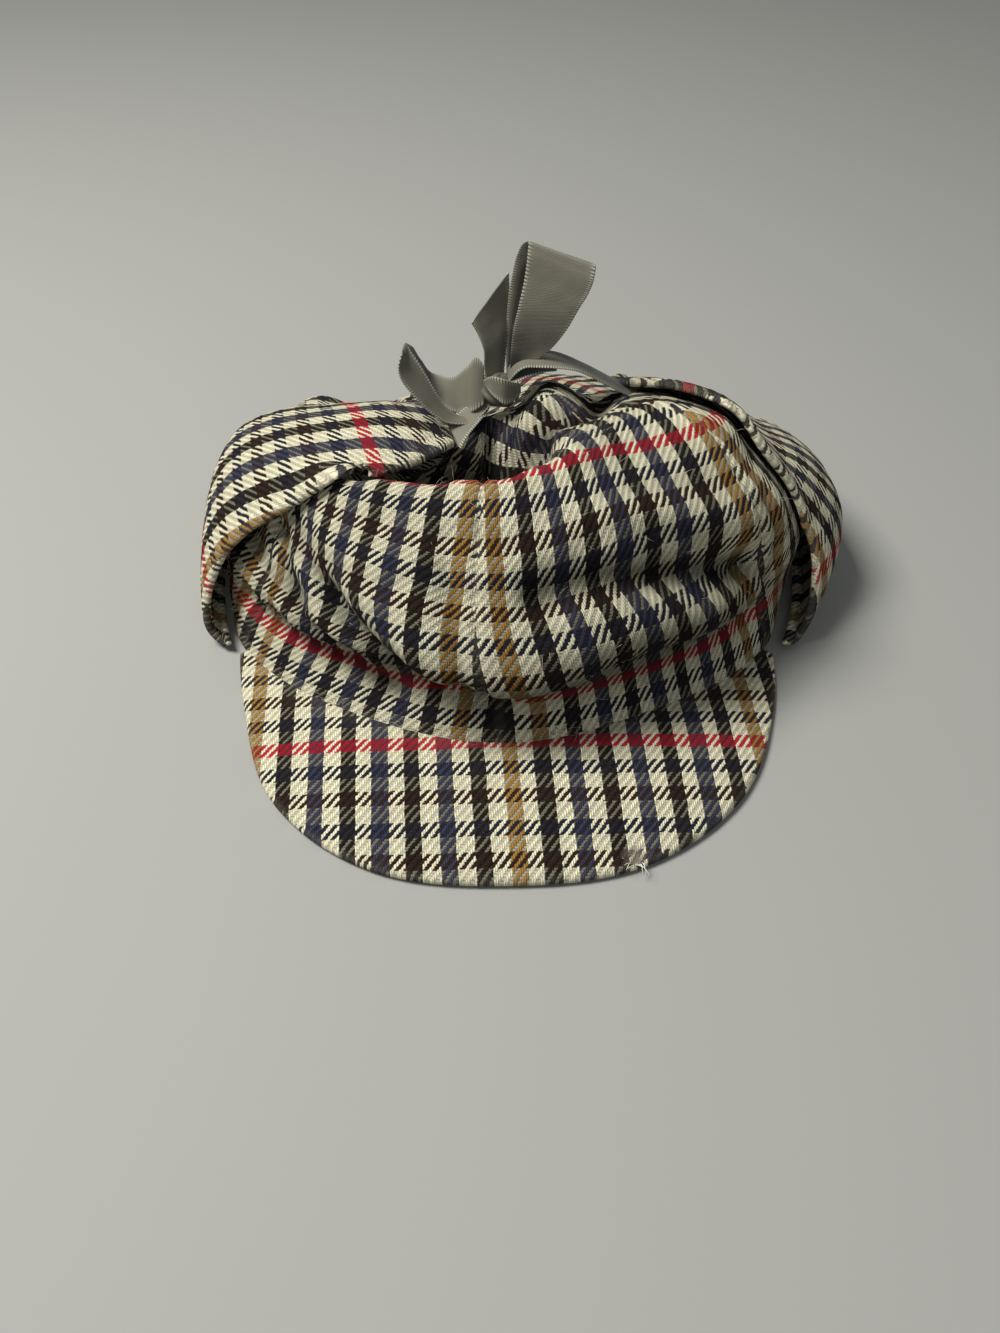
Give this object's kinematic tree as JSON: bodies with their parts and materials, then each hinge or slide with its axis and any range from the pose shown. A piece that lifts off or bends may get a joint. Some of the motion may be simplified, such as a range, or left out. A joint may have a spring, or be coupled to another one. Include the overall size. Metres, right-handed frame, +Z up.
{
  "type": "deerstalker hat",
  "caption": "Checked tweed deerstalker hat with peaks front and back and turned-up ear flaps tied over the crown with a ribbon bow, resting on its rim.",
  "frame": {"origin": "under the middle of the hat, on the surface that it rests on", "axes": "+Z up, front peak towards -Y, wearer's left flap towards -X as seen from the front camera, +X to the right in that view"},
  "size_m": [0.2096, 0.2532, 0.1187],
  "materials": {
    "tweed": "woollen twill, gun-club check of cream, navy, brown, tan and red",
    "ribbon": "sage green ribbed ribbon with a low sheen"
  },
  "bodies": {
    "root": {"crown": "tweed", "front_peak": "tweed", "rear_peak": "tweed", "ear_flap_left": "tweed", "ear_flap_right": "tweed", "bow_knot": "ribbon", "bow_loop_tall": "ribbon", "bow_tail": "ribbon", "bow_loop_left": "ribbon", "tie_left": "ribbon", "tie_right": "ribbon", "bow_tail_right": "ribbon"}
  },
  "joints": []
}
